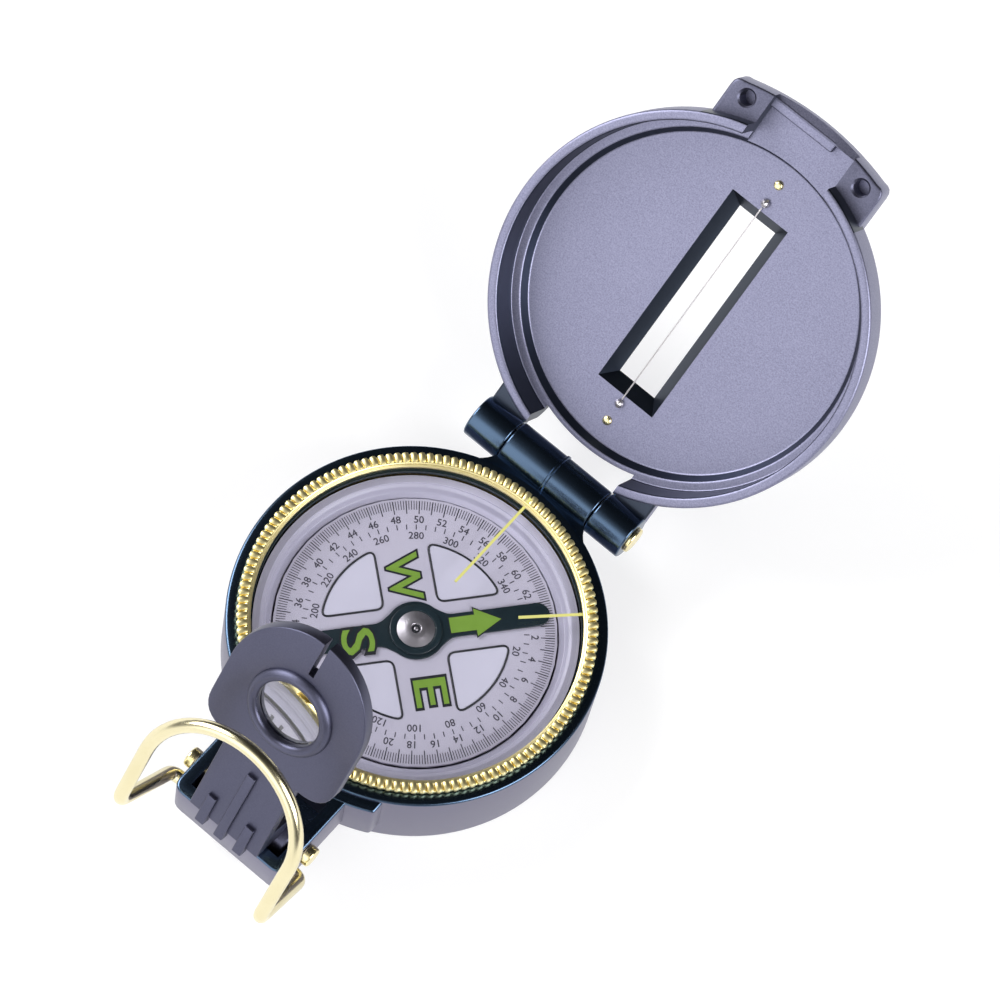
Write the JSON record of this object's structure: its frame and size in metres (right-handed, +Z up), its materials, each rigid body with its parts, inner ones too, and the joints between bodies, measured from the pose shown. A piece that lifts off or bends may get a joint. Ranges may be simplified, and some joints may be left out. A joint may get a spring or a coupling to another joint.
{
  "type": "magnetic compass",
  "caption": "Folding magnetic compass: round housing with turning bezel and floating card, slotted sighting lid with hairline, hinged lens eyepiece and wire bail, shown open.",
  "frame": {"origin": "middle of the housing's flat round underside", "axes": "+Z up through the dial's pivot, +Y from the eyepiece tongue to the lid hinge, +X to the right"},
  "size_m": [0.0586, 0.14, 0.0535],
  "materials": {
    "painted_body": "satin grey",
    "painted_eyepiece": "satin dark grey",
    "brass": "polished",
    "steel": "bright",
    "clear_plastic": "clear",
    "crystal": "clear",
    "rubber": "matt",
    "card": "printed",
    "black_enamel": "enamel",
    "luminous": "luminous paint"
  },
  "bodies": {
    "base": {"base_housing": "painted_body", "hinge_pin": "brass", "eyepiece_pin": "brass", "capsule_bowl": "clear_plastic", "capsule_seal": "rubber", "capsule_cover": "clear_plastic", "pivot_post": "brass", "bezel_snap_ring": "steel"},
    "bezel": {"bezel_ring": "brass", "bezel_crystal": "crystal", "crystal_retainer": "black_enamel", "long_luminous_line": "luminous", "short_luminous_line": "luminous"},
    "card": {"compass_card": "card", "needle_bar": "black_enamel", "hub_washer": "black_enamel", "hub_cap": "steel", "jewel_cup": "steel"},
    "lid": {"lid_shell": "painted_body", "sight_wire": "steel", "wire_post_rear": "steel", "wire_post_front": "steel", "lid_dot_rear": "brass", "lid_dot_front": "brass"},
    "eyepiece": {"eyepiece_bracket": "painted_eyepiece", "eyepiece_lens": "crystal", "lens_ring": "painted_eyepiece"},
    "bail": {"bail_wire": "brass"}
  },
  "joints": [
    {"name": "lid_hinge", "type": "hinge", "parent": "base", "child": "lid", "pos_m": [0, 0.03141, 0.01428], "axis": [1, 0, 0], "range_deg": [-9.5, 140.2]},
    {"name": "eyepiece_hinge", "type": "hinge", "parent": "base", "child": "eyepiece", "pos_m": [0, -0.0365, 0.012], "axis": [1, 0, 0], "range_deg": [-62, 4.3]},
    {"name": "bail_hinge", "type": "hinge", "parent": "base", "child": "bail", "pos_m": [0, -0.0397, 0.01085], "axis": [1, 0, 0], "range_deg": [-6, 80]},
    {"name": "bezel_turn", "type": "hinge", "parent": "base", "child": "bezel", "pos_m": [0, 0, 0.015], "axis": [0, 0, 1], "continuous": true},
    {"name": "card_turn", "type": "hinge", "parent": "base", "child": "card", "pos_m": [0, 0, 0.011], "axis": [0, 0, 1], "continuous": true}
  ],
  "couplings": [
    {"joint": "eyepiece_hinge", "follows": "lid_hinge", "ratio": -0.441}
  ]
}
